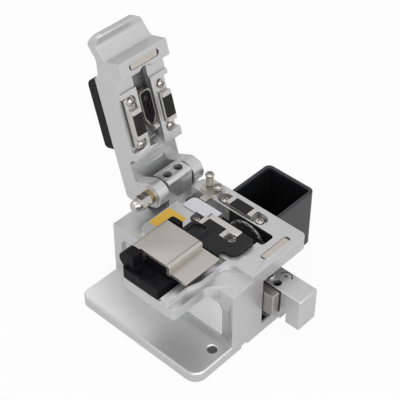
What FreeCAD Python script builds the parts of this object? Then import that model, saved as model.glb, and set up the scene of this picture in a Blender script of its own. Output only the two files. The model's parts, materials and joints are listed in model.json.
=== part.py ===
import FreeCAD, Part
import math
import os

Vector = FreeCAD.Vector

# driving sizes, in mm
overhang = 19.5          # foot and holder shelf left of the pillar
pillar_w = 16.6
foot_t = 4.55
opening_h = 23.3
deck_t = 6.2
rear_step = 5.4          # rear platform below the deck top
pad_t = 1.2
pad_r = 4.5
pad_proud = 0.6
front_land = 8.3         # deck in front of the blade slot
fibre_lift = 1.4         # fibre plane above the deck top
shelf_depth = 2.6        # holder floor below the deck top
wheel_r = 9.0
wheel_t = 0.9
slot_w = 3.9
slot_wide = 6.8
rib_w = 0.6              # thin wall between blade slot and right clamp pocket
clamp_w = 4.3
clamp_l = 12.5           # raised middle of each clamp block
clamp_tab = 4.6          # lower tab under each clamp screw
clamp_tab_t = 1.1
clamp_give = 0.6         # upper clamps sink into the lid by this
pocket_w = 6.0
side_clear = 0.4         # gap around parts that slide
fit = 0.05               # running fit
bin_w = 23.7
bin_l = 24.1
bin_wall = 1.6
ear_r = 5.3
ear_w = 5.1
bracket_gap = 0.7        # between the hinge block and each lid ear
shaft_r = 2.0
lid_open = 106.0         # degrees
lid_body_t = 13.0        # land to top
cover_t = 5.3
screw_r = 1.75           # pan heads of the clamps
pawl_head_r = 1.85
rim_t = 0.5              # thin wall behind the finger scoop
pawl_t = 0.8
magnet_l = 13.4
magnet_w = 2.7

# heights
deck_under = foot_t + opening_h
deck_top = deck_under + deck_t
fibre_z = deck_top + fibre_lift
rear_top = deck_top - rear_step
shelf_z = deck_top - shelf_depth
hinge_z = rear_top + ear_r + 1.5
lid_land = fibre_z + 2.4
lid_top = lid_land + lid_body_t
lid_recess = hinge_z + 7.6
lid_low = deck_top + 0.1

# widths, from the left edge of the foot
pillar_x = overhang
open_x = pillar_x + pillar_w
gib_x = open_x + side_clear
gib_w = 4.0
knob_x = gib_x + gib_w
knob_w = 10.1
wheel_x = knob_x + knob_w - 1.2
slot_right = wheel_x + slot_w - 1.5
slot_left = slot_right - slot_w
slot_left_wide = slot_right - slot_wide
pocket_x = slot_right + rib_w
deck_right = pocket_x + pocket_w + 2.4
foot_w = deck_right - 0.5
right_clamp_x = pocket_x + pocket_w / 2
left_clamp_x = slot_left_wide - 5.55

# depths, from the front face
wheel_y = front_land + wheel_r + 2.4
fibre_y = wheel_y + 7.8
clamp_half = clamp_l / 2 + clamp_tab
pawl_y1 = fibre_y + clamp_half + 2.5
pawl_y2 = pawl_y1 + 4.5
ridge_end = pawl_y2 + 5.4
hinge_y = ridge_end + ear_r + 1.1
foot_d = hinge_y + ear_r - 0.5
deck_back = ridge_end - 1.9
lid_x0 = open_x - 0.6
lid_x1 = deck_right - 0.8
bracket_x = lid_x0 + ear_w + bracket_gap
bracket_w = lid_x1 - lid_x0 - 2 * (ear_w + bracket_gap)
slider_travel = 14.8
blade_lift = 1.2         # degrees that the height screw tips the blade lever
screw_pitch = 0.5
hub_r = 3.8
foot_hole_x = 14.3
foot_hole_y = 5.2
foot_hole_r = 1.9
foot_hole_chamfer = 0.4

shift = Vector(-foot_w / 2, -foot_d / 2, pad_proud)


def save(name, shape):
    moved = shape.copy()
    moved.translate(shift)
    moved.exportStep("parts/" + name + ".step")


def box(x0, x1, y0, y1, z0, z1):
    return Part.makeBox(x1 - x0, y1 - y0, z1 - z0, Vector(x0, y0, z0))


def cylinder(start, direction, r, length):
    return Part.makeCylinder(r, length, Vector(*start), Vector(*direction))


def cone(start, direction, r0, r1, length):
    return Part.makeCone(r0, r1, length, Vector(*start), Vector(*direction))


def outline(points, radii):
    # closed face in the XY plane, every corner rounded by its own radius
    flat = [Vector(x, y, 0) for x, y in points]
    count = len(flat)
    edges = []
    ends = []
    for i in range(count):
        here = flat[i]
        back = flat[i - 1] - here
        ahead = flat[(i + 1) % count] - here
        r = radii[i] if isinstance(radii, (list, tuple)) else radii
        if r <= 0:
            ends.append((here, here))
            continue
        half = back.getAngle(ahead) / 2
        reach = r / math.tan(half)
        first = here + back.normalize() * reach
        last = here + ahead.normalize() * reach
        bisector = (first + last) * 0.5 - here
        centre = here + bisector.normalize() * (r / math.sin(half))
        middle = centre + (here - centre).normalize() * r
        edges.append(Part.Arc(first, middle, last).toShape())
        ends.append((first, last))
    for i in range(count):
        a = ends[i][1]
        b = ends[(i + 1) % count][0]
        if a.distanceToPoint(b) > 1e-6:
            edges.append(Part.makeLine(a, b))
    return Part.Face(Part.Wire(Part.__sortEdges__(edges)))


def plate(points, radii, z0, z1):
    face = outline(points, radii)
    face.translate(Vector(0, 0, z0))
    return face.extrude(Vector(0, 0, z1 - z0))


def profile_x(points, radii, x0, x1):
    # points are (y, z); extruded along X
    face = outline(points, radii)
    face.rotate(Vector(0, 0, 0), Vector(1, 1, 1), 120)
    face.translate(Vector(x0, 0, 0))
    return face.extrude(Vector(x1 - x0, 0, 0))


def slab(x0, x1, y0, y1, z0, z1, r):
    return plate([(x0, y0), (x1, y0), (x1, y1), (x0, y1)], r, z0, z1)


def corner(x, y, r, side_x, side_y, z0, z1):
    # what lies between the corner at x, y and a rounding of radius r towards side_x, side_y
    cx, cy = x + side_x * r, y + side_y * r
    block = box(min(x, cx), max(x, cx), min(y, cy), max(y, cy), z0, z1)
    return block.cut(cylinder((cx, cy, z0 - 1), (0, 0, 1), r, z1 - z0 + 2))


def chamfer_top(shape, z, size):
    edges = [e for e in shape.Edges if abs(e.BoundBox.ZMin - z) < 1e-6 and abs(e.BoundBox.ZMax - z) < 1e-6]
    return shape.makeChamfer(size, edges)


def pan_screw(x, y, z, head_r, head_h, shank_r, shank_l, up=1, washer=0):
    # head seat at z, over its washer; head points along up
    axis = (0, 0, up)
    rim_h = head_h * 0.5
    body = cylinder((x, y, z), axis, head_r, rim_h)
    body = body.fuse(cone((x, y, z + up * rim_h), axis, head_r, head_r * 0.7, head_h - rim_h))
    if washer > 0:
        body = body.fuse(cylinder((x, y, z), (0, 0, -up), head_r - 0.2, washer))
    return body.fuse(cylinder((x, y, z), (0, 0, -up), shank_r, shank_l)).removeSplitter()


def hexagon(x0, y, z, across, length):
    r = across / 2 / math.cos(math.pi / 6)
    points = [(y + r * math.cos(math.pi * i / 3), z + r * math.sin(math.pi * i / 3)) for i in range(6)]
    return profile_x(points, 0, x0, x0 + length)


def coil(x, y, z0, z1, r, wire_r, turns):
    # six-sided wire along a helix of short straight runs, seated between z0 and z1
    per_turn = 12
    steps = int(per_turn * turns)
    rise = (z1 - z0 - 2.4 * wire_r) / steps
    path = []
    for i in range(steps + 1):
        a = 2 * math.pi * i / per_turn
        path.append(Vector(r * math.cos(a), r * math.sin(a), i * rise))
    section = [Vector(r + wire_r * math.cos(math.pi * k / 3), 0, wire_r * math.sin(math.pi * k / 3))
               for k in range(6)]
    wire = Part.makePolygon(section + section[:1])
    spring = Part.makePolygon(path).makePipeShell([wire], True, True, 1)
    spring.translate(Vector(x, y, z0 + 1.2 * wire_r))
    return spring


def open_lid(shape):
    turned = shape.copy()
    turned.rotate(Vector(0, hinge_y, hinge_z), Vector(1, 0, 0), -lid_open)
    return turned


# main casting: foot, pillar, deck, rear platform and holder shelf
rim_y = front_land + 4.3
strip_front = front_land + 5.9
shelf_back = fibre_y + 9.8
seat_front = front_land + 9.1
ledge_front = front_land + 2.7
shelf_under = deck_top - 7.3
pillar_back = foot_d
slot_rear = ridge_end + 0.5


def make_body():
    foot = slab(0, foot_w, 0, foot_d, 0, foot_t, [5, 3, 3, 4])
    foot = chamfer_top(foot, foot_t, 0.5)
    pillar = box(pillar_x, open_x, 0, pillar_back, foot_t - 0.5, deck_under + 0.5)
    deck = slab(pillar_x, deck_right, 0, deck_back, deck_under, deck_top, [0, 2, 0, 4.5])
    ridge = slab(slot_right, deck_right, fibre_y, ridge_end, deck_under, deck_top, [0, 0, 5, 0])
    rear = slab(pillar_x, deck_right, deck_back - 8, foot_d, deck_under - 4.5, rear_top, [0, 0, 3, 0])
    shelf = plate([(0.2, ledge_front), (pillar_x + 1, ledge_front), (pillar_x + 1, shelf_back),
                   (0.2, shelf_back)], [1.5, 0, 0, 1.5], shelf_under, shelf_z)
    web = corner(pillar_x, ledge_front, 5, -1, -1, shelf_under, shelf_z)
    strip = plate([(0.2, strip_front), (rim_x0, strip_front), (rim_x0 + 5, rim_y), (pillar_x + 1, rim_y),
                   (pillar_x + 1, seat_front), (0.2, seat_front)], [1, 3, 4, 0, 0, 0], shelf_z - 1, deck_top)
    body = foot.fuse([pillar, deck, ridge, rear, shelf, web, strip])
    land_back = deck_back - 3.2
    cuts = [
        # deck stops at the rear platform, except the ridge on the right
        box(bracket_x, slot_left, land_back, deck_back + 1, rear_top, deck_top + 1),
        corner(slot_left, land_back, 2.8, -1, -1, rear_top, deck_top + 1),
        slab(slot_left, slot_right, fibre_y, slot_rear, deck_under - 6, deck_top + 1, [0, 0, 1, 1]),
        slab(slot_left_wide, slot_right, front_land, fibre_y + 3.5, deck_under - 1, deck_top + 1, [1.5, 1.5, 0, 0]),
        # pockets of the two lower clamps
        slab(pocket_x, pocket_x + pocket_w, fibre_y - clamp_half - 1.3, fibre_y + clamp_half + 0.7,
             deck_top - 3.6, deck_top + 1, pocket_w / 2 - 0.05),
        slab(left_clamp_x - 2.6, slot_left_wide + 0.1, fibre_y - clamp_half - 1.0, fibre_y + clamp_half + 0.6,
             deck_top - 3.6, deck_top + 1, [2.4, 0, 0, 2.4]),
        # seat of the black adaptor plate
        adaptor_plan(0.15, slot_left_wide + 0.1, adaptor_seat, deck_top + 1),
        # holder floor runs into the deck
        box(0, adaptor_x + 0.1, seat_front, shelf_back, shelf_z, deck_top + 1),
        # pocket behind the thin wall of the scoop
        plate([(rim_x0 + 0.8, seat_front + 0.1), (rim_x0 + 0.8, strip_front + 0.6), (rim_x0 + 5, rim_y + rim_t),
               (scoop_x, rim_y + rim_t), (scoop_x, seat_front + 0.1)], [0, 3, 4, 0, 0], shelf_z, deck_top + 1),
        # finger scoop at the front left corner
        scoop(),
        # magnet pocket in the front land
        slab(magnet_x, magnet_x + magnet_l + 2, magnet_y - magnet_w / 2 - 0.15, magnet_y + magnet_w / 2 + 0.15,
             deck_top - 2.5, deck_top + 1, magnet_w / 2 + 0.1),
        # label pocket in the left side of the pillar
        profile_x([(2.0, foot_t + 2.3), (foot_d - 4, foot_t + 2.3), (foot_d - 4, label_top + 0.8),
                   (2.0, label_top + 0.8)], [0.6, 0.6, 4.5, 4.5], pillar_x - 1, pillar_x + 1.2),
        # room for the open lid, whose back rests on the face this leaves
        open_lid(box(lid_x0 - side_clear, lid_x1 + side_clear, hinge_y, hinge_y + ear_r + fit,
                     hinge_z, hinge_z + 12)),
        # relief under the deck for the hub of the blade lever
        box(slot_left_wide, slot_right, fibre_y, fibre_y + 18, deck_under - 1, deck_top - 3.2),
        # screw hole in the foot and notch under its front edge
        cylinder((foot_hole_x, foot_hole_y, -1), (0, 0, 1), foot_hole_r, foot_t + 2),
        cone((foot_hole_x, foot_hole_y, foot_t - foot_hole_chamfer), (0, 0, 1), foot_hole_r,
             foot_hole_r + foot_hole_chamfer * 1.25, foot_hole_chamfer * 1.25),
        box(pillar_x + 5.5, pillar_x + 8.9, -1, 3, -1, 1.4),
    ]
    for x, y in pad_places():
        cuts.append(cylinder((x, y, -1), (0, 0, 1), pad_r + fit, 1 + pad_t - pad_proud))
    for x, y in lower_screws() + pawl_screws():
        cuts.append(cylinder((x, y, deck_top - 6), (0, 0, 1), 1.0, 7))
    for tool in cuts:
        body = body.cut(tool)
    return body.removeSplitter()


def scoop():
    # finger rest: shallow pocket that runs on into the ledge of the holder shelf
    return plate([(pillar_x - 1, -1), (scoop_x, -1), (scoop_x, rim_y), (pillar_x - 1, rim_y)],
                 [0, 0, 5, 0], shelf_z, deck_top + 1)


def pad_places():
    inset = pad_r + 3.2
    return [(foot_w - inset, inset), (inset, foot_d - inset), (foot_w - inset, foot_d - inset),
            (inset, inset + 6.8)]


def lower_screws():
    reach = clamp_half - 1.9
    return [(x, fibre_y + s * reach) for x in (left_clamp_x, right_clamp_x) for s in (-1, 1)]


def pawl_screws():
    return [(pawl_x, pawl_y1), (pawl_x, pawl_y2)]


# smaller derived places
label_top = foot_t + 18.6
bracket_seat = hinge_z + shaft_r + 0.6
adaptor_x = left_clamp_x - 10.6
adaptor_seat = deck_top - 1.7
rim_x0 = pillar_x - 9
scoop_x = pillar_x + 10.8
magnet_x = slot_left_wide - 5.2
magnet_y = front_land / 2
pawl_x = deck_right - 4.4
pawl_head_h = 1.2
pawl_seats = (lid_land - 0.3 - pawl_head_h, lid_recess - 2.0 - pawl_head_h)


def clamp_block(cx, seat_z, top_z, up, strip_w):
    # long bar, thin screw tabs at both ends, raised middle with a recess for the rubber pad
    x0, x1 = cx - clamp_w / 2, cx + clamp_w / 2
    y0, y1 = fibre_y - clamp_half, fibre_y + clamp_half
    tab_z = seat_z + up * clamp_tab_t
    lo, hi = min(seat_z, tab_z), max(seat_z, tab_z)
    body = slab(x0, x1, y0, y1, lo, hi, 1.6)
    lo, hi = min(seat_z, top_z), max(seat_z, top_z)
    body = body.fuse(box(x0, x1, fibre_y - clamp_l / 2, fibre_y + clamp_l / 2, lo, hi))
    if strip_w > 0:
        strip = box(x1 - 0.5, x1 + strip_w, fibre_y - clamp_l / 2 - 3.5, fibre_y + clamp_l / 2 - 1, lo, hi - 0.2)
        body = body.fuse(strip)
    z0, z1 = min(top_z, top_z - up * 0.9), max(top_z, top_z - up * 0.9)
    body = body.cut(box(x0 - 1, x1 + (0 if strip_w > 0 else 1), fibre_y - rubber_l / 2, fibre_y + rubber_l / 2,
                        z0 - (1 if up < 0 else 0), z1 + (1 if up > 0 else 0)))
    for s in (-1, 1):
        y = fibre_y + s * (clamp_half - 1.9)
        body = body.cut(cylinder((cx, y, lo - 1), (0, 0, 1), 1.0, hi - lo + 2))
        head_z = tab_z if up > 0 else tab_z - 4
        body = body.cut(cylinder((cx, y, head_z), (0, 0, 1), screw_r + 0.15, 4))
    return body.removeSplitter()


rubber_l = 8.7


def clamp_rubber(cx, top_z, up):
    x0, x1 = cx - clamp_w / 2, cx + clamp_w / 2
    z0, z1 = min(top_z, top_z - up * 0.9), max(top_z, top_z - up * 0.9)
    return box(x0, x1, fibre_y - rubber_l / 2 + 0.02, fibre_y + rubber_l / 2 - 0.02, z0, z1)


def make_holder():
    # base of the fibre holder: floor block, left tray with fibre groove, two hinge knuckles
    y0, y1 = seat_front + 1.9, shelf_back - 0.2
    top = fibre_z + 0.6
    left = 0.5
    right = adaptor_x - 0.4
    base = slab(left, right, y0, y1, shelf_z, top, [0.4, 0.4, 1.5, 1.0])
    tray = box(left + 1.2, 6.6, y0 + 1.2, y1 - 4.6, top - 0.8, top + 1)
    groove = box(left - 1, right + 1, fibre_y - 0.35, fibre_y + 0.35, fibre_z - 0.15, top + 1)
    base = base.cut(tray).cut(groove)
    deep = box(left + 2.4, 5.6, fibre_y - 2.6, fibre_y + 1.4, top - 1.7, top + 1)
    base = base.cut(deep)
    knuckle_r = 3.4
    for x0, x1 in ((left + 1.2, flap_x0 - 0.9), (flap_x1 + 0.9, right - 0.6)):
        # square in front, round behind
        lug = box(x0, x1, flap_y - knuckle_r, y1, top - 1, flap_z)
        block = box(x0, x1, flap_y - knuckle_r, flap_y, top - 1, flap_z + knuckle_r)
        base = base.fuse([lug, block, cylinder((x0, flap_y, flap_z), (1, 0, 0), knuckle_r, x1 - x0)])
    under = cylinder((flap_x0 - 0.9, flap_y, flap_z), (1, 0, 0), 3.9, flap_x1 - flap_x0 + 1.8)
    base = base.cut(under)
    base = base.cut(cylinder((pin_x0, flap_y, flap_z), (1, 0, 0), 1.0 + fit, right + 1 - pin_x0))
    return base.removeSplitter()


flap_x0 = 7.6
pin_x0 = 2.6
flap_x1 = 25.0
flap_y = fibre_y + 8.6
flap_z = fibre_z + 3.6
flap_top = fibre_z + 6.6
adaptor_back = fibre_y + 8.3


def make_flap():
    # bent and machined steel flap: flat top, ribbed front face, curved finger lip
    front = fibre_y - 7.3
    under = flap_top - 1.2
    lip_z = fibre_z + 3.5
    top = profile_x([(front, lip_z - 1.4), (front, flap_top), (flap_y + 2.6, flap_top), (flap_y + 3.4, flap_z),
                     (flap_y, flap_z - 3.3), (flap_y - 3.4, flap_z), (flap_y - 3.4, under), (front + 1.3, under),
                     (front + 1.3, lip_z - 1.4)],
                    [0, 1.0, 1.6, 2.6, 2.6, 0.6, 0.3, 0.3, 0], flap_x0, flap_x1)
    lip = profile_x([(front - 8.0, lip_z), (front + 0.6, lip_z), (front + 0.6, lip_z - 1.4),
                     (front - 6.4, lip_z - 1.4), (front - 8.0, lip_z - 0.9)],
                    [0.2, 0, 0, 1.0, 0.3], flap_x0 + 0.3, flap_x1 + 0.3)
    flap = top.fuse(lip)
    groove_y = front + 1.3
    flap = flap.cut(box(flap_x0 - 1, flap_x1 + 1, groove_y, groove_y + 0.4, flap_top - 0.35, flap_top + 1))
    tab = box(flap_x0 - 0.8, flap_x0 + 0.2, flap_y - 1.6, flap_y + 2.2, flap_top - 1.1, flap_top)
    flap = flap.fuse(tab)
    flap = flap.cut(cylinder((flap_x0 - 1, flap_y, flap_z), (1, 0, 0), 1.0 + fit, flap_x1 - flap_x0 + 3))
    return flap.removeSplitter()


def make_flap_insert():
    # black pressing block carried under the flap
    front = fibre_y - 5.6
    under = flap_top - 1.2
    block = box(flap_x0 + 0.2, flap_x1 - 0.2, front, flap_y - 4.6, fibre_z + 1.0, under)
    rubber = box(flap_x0 + 1.4, flap_x1 - 1.4, fibre_y - 2.2, fibre_y + 2.2, fibre_z + 0.65, fibre_z + 1.2)
    return block.fuse(rubber).removeSplitter()


def adaptor_plan(gap, x1, z0, z1, end_r=0):
    # swept outline of the adaptor plate, grown by gap, up to x1 on the slot side
    x0 = adaptor_x + 0.1 - gap
    x_sweep = x0 + 3.2
    y_mid = fibre_y - 10.4 - gap
    y_front = front_land + 2.9 - gap
    y_back = adaptor_back + gap
    return plate([(x0, y_mid), (x_sweep, y_mid), (x_sweep, y_front), (x1, y_front), (x1, y_back), (x0, y_back)],
                 [0.8, 1.6 - gap, 3.9 + gap, end_r, 0, 0.5], z0, z1)


def make_adaptor():
    # black plate with the swept front edge; cut out around the left clamp
    top = fibre_z
    seat = adaptor_seat + fit
    x0 = adaptor_x
    x1 = slot_left_wide - 0.8
    shape = adaptor_plan(0, x1, seat, top, 2.2)
    clamp_x0 = left_clamp_x - clamp_w / 2 - 0.15
    low, high = seat - 1, top + 1
    tools = [
        box(clamp_x0, x1 + 1, fibre_y - clamp_l / 2 - 0.15, adaptor_back + 1, low, high),
        slab(left_clamp_x - 2.35, left_clamp_x + 2.35, fibre_y - clamp_half - 0.2, fibre_y, low, high,
             [1.9, 1.9, 0, 0]),
        box(left_clamp_x + clamp_w / 2 - 0.7, x1 + 1, fibre_y - clamp_l / 2 - 3.65, fibre_y, low, high),
        # two fibre grooves, and the recess behind them
        box(x0 - 1, clamp_x0 + 1, fibre_y - 1.5, fibre_y - 1.0, top - 0.4, high),
        box(x0 - 1, clamp_x0 + 1, fibre_y - 0.3, fibre_y + 0.3, top - 0.4, high),
        box(x0 - 1, clamp_x0 + 1, fibre_y + 1.3, fibre_y + 6.6, top - 0.8, high),
    ]
    for tool in tools:
        shape = shape.cut(tool)
    # guide wedge beside the clamp
    wedge = plate([(clamp_x0 - 1.8, fibre_y + 6.7), (clamp_x0, fibre_y + 3.8), (clamp_x0, fibre_y + 6.7)], 0,
                  top - 1, top + 0.3)
    return shape.fuse(wedge).removeSplitter()


def make_lid():
    # one milled block: finger lip, front land, cross groove, clamp pockets, hinge ears
    front = 0.9
    land = lid_land
    top = lid_top
    back = hinge_y + ear_r
    recess = lid_recess
    low = lid_low
    groove0 = front_land - 0.7
    groove1 = fibre_y - clamp_half - 2.6
    shelf = pawl_y2 - 2.6
    points = [(front, low), (groove0, low), (groove0 + 0.8, land + 2.6), (groove1 - 0.8, land + 2.8), (groove1, land),
              (shelf, land), (shelf, recess), (hinge_y - ear_r, recess), (back, recess), (back, top),
              (front + 8.4, top), (front + 6.2, top - 2.6), (front, top - 3.9), (front - 6.4, top - 0.9),
              (front - 9.0, top - 2.6), (front - 9.0, top - 6.6), (front - 5.4, top - 5.6), (front, top - 8.6)]
    radii = [0.3, 0.3, 1.2, 1.0, 0.3, 0.4, 2.6, 0, 0, 2.6, 0.6, 2.2, 4.5, 1.2, 1.4, 0.6, 2.8, 2.2]
    lid = profile_x(points, radii, lid_x0, lid_x1)
    for x0, x1 in ((lid_x0, lid_x0 + ear_w), (lid_x1 - ear_w, lid_x1)):
        ear = profile_x([(hinge_y - ear_r, hinge_z), (back, hinge_z), (back, recess + 0.5),
                         (hinge_y - ear_r + 1.2, recess + 0.5)], 0, x0, x1)
        lid = lid.fuse([ear, cylinder((x0, hinge_y, hinge_z), (1, 0, 0), ear_r, x1 - x0)])
    mid = (lid_x0 + lid_x1) / 2
    pocket_z = land + 2.7
    channel_x0, channel_x1 = left_clamp_x + 3.95, right_clamp_x - 4.4
    cuts = [
        # left and right clamp pockets break out through the sides
        plate([(lid_x0 - 1, fibre_y - clamp_half - 0.6), (left_clamp_x + 2.6, fibre_y - clamp_half - 0.6),
               (left_clamp_x + 2.6, fibre_y + clamp_half + 0.6), (lid_x0 - 1, fibre_y + clamp_half + 0.6)],
              [0, 2.4, 2.4, 0], low - 2, pocket_z),
        plate([(right_clamp_x - 2.6, fibre_y - clamp_half - 0.6), (lid_x1 + 1, fibre_y - clamp_half - 0.6),
               (lid_x1 + 1, fibre_y + clamp_half + 0.6), (right_clamp_x - 2.6, fibre_y + clamp_half + 0.6)],
              [2.4, 0, 0, 2.4], low - 2, pocket_z),
        # middle channel over the blade, rounded at the front, ramp at the back
        slab(channel_x0, channel_x1, groove0 - 1.5, shelf - 3.0, low - 1, land + 5.4, [3.7, 3.7, 0.5, 0.5]),
        profile_x([(shelf - 3.4, land - 1), (shelf + 1.5, land - 1), (shelf - 3.4, land + 5.0)], 0,
                  mid - 1.0, channel_x1),
        # slot above the bracket and bore for the shaft
        box(bracket_x + 1.0, bracket_x + bracket_w - 1.0, hinge_y - ear_r - 3.2, hinge_y - ear_r - 1.6,
            recess - 1, recess + 1.4),
        cylinder((lid_x0 - 1, hinge_y, hinge_z), (1, 0, 0), shaft_r + fit, lid_x1 - lid_x0 + 2),
        slab(lid_magnet_x, lid_magnet_x + magnet_l + 2, magnet_y - magnet_w / 2 - 0.15,
             magnet_y + magnet_w / 2 + 0.15, low - 1, low + 2.6, magnet_w / 2 + 0.1),
    ]
    for x, y in lower_screws():
        cuts.append(cylinder((x, y, land), (0, 0, 1), 1.0, 8))
    for tool in cuts:
        lid = lid.cut(tool)
    # boss that carries the breaking lever, with room for the lever to rock
    boss_z = lever_z + lever_t + lever_play
    lid = lid.fuse(cylinder((lever_x, lever_y, boss_z), (0, 0, 1), 2.3, land + 6.0 - boss_z))
    lid = lid.cut(cylinder((lever_x, lever_y, land), (0, 0, 1), lever_screw_r, 9))
    # round front corners of the lip in plan
    keep = slab(lid_x0, lid_x1, front - 9.0, back, low - 10, top + 10, [4.5, 4.5, 0, 0])
    low_part = box(lid_x0, lid_x1, front - 0.5, back, hinge_z - ear_r, top)
    keep = keep.fuse(low_part)
    return open_lid(lid.common(keep).removeSplitter())


lid_magnet_x = magnet_x
lever_x = left_clamp_x + 7.9
lever_y = fibre_y - 6.4
lever_z = fibre_z + 3.0
lever_t = 2.4
lever_play = 0.2
lever_wall = 0.6
lever_head_r = 1.35
lever_screw_r = 0.8
lever_seat = lever_z + 0.6


def make_cover():
    z0 = lid_top
    y0 = 10.2
    y1 = fibre_y + clamp_half + 1.8
    shape = profile_x([(y0, z0), (y1, z0), (y1, z0 + cover_t), (y0, z0 + cover_t)], [0.3, 0.3, 1.6, 3.0],
                      lid_x0, lid_x1)
    hollow = profile_x([(y0 + 1.6, z0 - 1), (y1 - 1.6, z0 - 1), (y1 - 1.6, z0 + cover_t - 1.6),
                        (y0 + 2.4, z0 + cover_t - 1.6)], 0, lid_x0 + 1.6, lid_x1 - 1.6)
    return open_lid(shape.cut(hollow).removeSplitter())


def lever_plan(inset, z0, z1):
    # outline of the breaking lever: rounded top, straight sides, tapered to its tip
    x = lever_x
    w = 2.9 - inset
    y0 = lever_y - 3.6 + inset
    y1 = fibre_y + 1.0
    tip = fibre_y + 5.6 - 2.8 * inset
    tip_w = 1.0 - inset / 2
    return plate([(x - w, y0), (x + w, y0), (x + w, y1), (x + tip_w, tip), (x - tip_w, tip), (x - w, y1)],
                 [1.4, 1.4, 0, 0.3, 0.3, 0], z0, z1)


def make_lever():
    # thin-walled steel channel, open towards the base
    z = lever_z
    body = lever_plan(0, z, z + lever_t).cut(lever_plan(lever_wall, z - 1, z + lever_t - lever_wall))
    return open_lid(body.cut(cylinder((lever_x, lever_y, z), (0, 0, 1), lever_screw_r + 0.2, 5)).removeSplitter())


def make_lever_insert():
    # black filling of the lever with two ridges and a sunk seat for the screw
    z = lever_z - 0.4
    body = lever_plan(lever_wall + fit, z, lever_z + lever_t - lever_wall - fit)
    y0, y1 = lever_y + 2.2, fibre_y + 0.6
    for x0, x1 in ((lever_x - 0.5, lever_x + 0.2), (lever_x + 0.9, lever_x + 1.4)):
        body = body.cut(box(x0, x1, y0, y1, z - 1, z + 0.8))
    body = body.cut(cylinder((lever_x, lever_y, z - 1), (0, 0, 1), lever_head_r + 0.2, lever_seat - z + 1))
    return open_lid(body.cut(cylinder((lever_x, lever_y, z), (0, 0, 1), lever_screw_r + 0.2, 5)).removeSplitter())


def make_lever_screw():
    # the lever rocks under its head by a small play
    head_z = lever_seat - lever_play / 2
    head = cylinder((lever_x, lever_y, head_z), (0, 0, -1), lever_head_r, 0.8)
    shank = cylinder((lever_x, lever_y, head_z), (0, 0, 1), lever_screw_r, 7.0)
    return open_lid(head.fuse(shank).removeSplitter())


def make_lever_tip():
    # small steel striker whose edge bends the scored fibre
    x = lever_x
    y = fibre_y + 4.9
    z = fibre_z + 0.15
    body = profile_x([(y - 0.9, z + 1.2), (y - 0.2, z), (y + 0.6, z), (y + 1.8, z + 1.6), (y + 1.8, z + 4.2),
                      (y + 0.75, z + 4.2), (y + 0.75, z + 2.8), (y - 0.9, z + 2.8)],
                     [0.2, 0.1, 0.3, 0.3, 0, 0, 0, 0], x - 1.3, x + 1.0)
    return open_lid(body)


def make_knob():
    # slider block: square finger end, undercut, low rear tail for the blade lever
    z0 = foot_t + 2.5
    z1 = z0 + 15.8
    y0 = wheel_y - 34.0
    arch_y0 = wheel_y - 27.7
    arch_y1 = arch_y0 + 2.8
    x1 = knob_x + knob_w
    body = box(knob_x, x1, y0, wheel_y - wheel_r - 1.0, z0 + 0.8, z1)
    body = body.makeChamfer(0.4, body.Edges)
    tail = box(knob_x, x1, wheel_y - wheel_r - 2.0, wheel_y + 14.0, z0, z0 + 4.9)
    body = body.fuse(tail)
    arch = profile_x([(arch_y0, z0 - 1), (arch_y1, z0 - 1), (arch_y1, z0 + 8.0), (arch_y0, z0 + 8.0)],
                     [0, 0, 0.3, 2.4], knob_x - 1, x1 + 1)
    channel = box(arm_x0 - 0.4, arm_x1 + 0.4, screw_y - 2.4, wheel_y, z0 + 5.2, z0 + 10.6)
    body = body.cut(arch).cut(channel)
    body = body.cut(cylinder((screw_x, screw_y, z0 + 8), (0, 0, 1), 1.75, 9))
    body = body.cut(cylinder((knob_x - 1, pivot_y, pivot_z), (1, 0, 0), 1.0, knob_w + 2))
    body = body.cut(cylinder((knob_x + 3.2, screw_y + 3.7, z1 - 3), (0, 0, 1), 1.0, 4))
    return body.removeSplitter()


screw_x = knob_x + 2.4
screw_y = wheel_y - 20.9
arm_x0 = knob_x + 0.9
arm_x1 = wheel_x - 0.75
pivot_y = wheel_y - 13.7
pivot_z = foot_t + 10.2
screw_turn_ratio = -2 * math.pi * (pivot_y - screw_y) / screw_pitch


def make_arm():
    # black lever that carries the blade: front tongue under the set screw, round rear hub
    x_up = slot_left_wide + 0.5
    hub_z = fibre_z - wheel_r
    low, high = pivot_z - 1.9, pivot_z + 1.9
    tongue = profile_x([(screw_y - 2.0, low), (pivot_y + 8.0, low), (pivot_y + 8.0, high), (screw_y - 2.0, high)],
                       0.5, arm_x0, arm_x1)
    riser = profile_x([(pivot_y + 4.2, low), (wheel_y + 5.0, low), (wheel_y + 6.4, low + 3.0),
                       (wheel_y + 3.9, hub_z + 1.6), (wheel_y - 3.6, hub_z + 2.2), (pivot_y + 4.2, high)],
                      [0.5, 1.5, 1.5, 0, 0, 0], x_up, arm_x1)
    hub = cylinder((x_up, wheel_y, hub_z), (1, 0, 0), hub_r, arm_x1 - x_up)
    arm = tongue.fuse([riser, hub])
    arm = arm.cut(cylinder((knob_x, pivot_y, pivot_z), (1, 0, 0), 1.0 + fit, knob_w))
    arm = arm.cut(cylinder((x_up - 1, wheel_y, hub_z), (1, 0, 0), 1.5, arm_x1 - x_up + 2))
    return arm.removeSplitter()


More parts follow.
